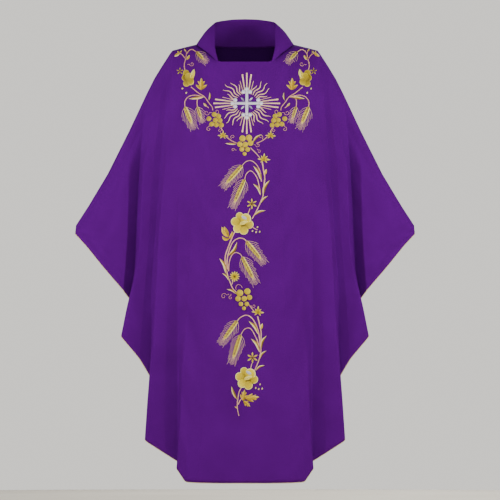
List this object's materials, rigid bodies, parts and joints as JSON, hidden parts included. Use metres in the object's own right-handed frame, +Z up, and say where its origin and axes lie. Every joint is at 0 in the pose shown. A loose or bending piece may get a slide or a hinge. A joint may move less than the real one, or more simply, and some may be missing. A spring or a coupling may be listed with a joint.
{
  "type": "gothic chasuble",
  "caption": "Full-cut purple liturgical vestment with a stand-up collar, folded drape and gold wheat, vine and rose embroidery down its front.",
  "frame": {"origin": "centre of the neck opening, at the height where the shoulders carry the garment", "axes": "+Z up, the front with its embroidery faces -Y, +X is the wearer's left"},
  "size_m": [0.956, 0.334, 1.3024],
  "materials": {
    "purple_cloth": "matte fine gabardine weave with a slight sheen",
    "lining_cloth": "smooth matte lining",
    "hem_piping": "pale gold corded edge",
    "stay_cloth": "plain off-white woven stay",
    "label_cloth": "blank damask label",
    "silver_thread": "silver metallic thread, satin stitch",
    "pale_thread": "pale rose-gold thread",
    "lemon_gold_thread": "lemon-gold metallic thread, satin stitch",
    "pale_gold_thread": "pale gold metallic thread",
    "gold_thread": "deep gold metallic thread, satin stitch"
  },
  "bodies": {
    "root": {"back_hem_piping": "hem_piping", "back_lining": "lining_cloth", "back_neck_facing": "lining_cloth", "back_panel": "purple_cloth", "berries": "gold_thread", "blank_label": "label_cloth", "buds": "gold_thread", "collar": "purple_cloth", "collar_facing": "lining_cloth", "collar_interfacing": "stay_cloth", "embroidery_backing": "stay_cloth", "front_hem_piping": "hem_piping", "front_lining": "lining_cloth", "front_neck_facing": "lining_cloth", "front_panel": "purple_cloth", "grapes": "gold_thread", "leaves": "gold_thread", "left_shoulder_tape": "stay_cloth", "left_yoke_stems": "pale_thread", "right_shoulder_tape": "stay_cloth", "right_yoke_stems": "pale_thread", "rose_hearts": "silver_thread", "roses": "lemon_gold_thread", "side_blossoms": "lemon_gold_thread", "silver_cross": "silver_thread", "star_flowers": "lemon_gold_thread", "sunburst_straight_rays": "pale_gold_thread", "sunburst_wavy_rays": "pale_gold_thread", "tendrils": "pale_thread", "vine_leaves": "gold_thread", "vine_stems": "pale_thread", "wheat_awns": "pale_thread", "wheat_ears": "lemon_gold_thread"}
  },
  "joints": []
}
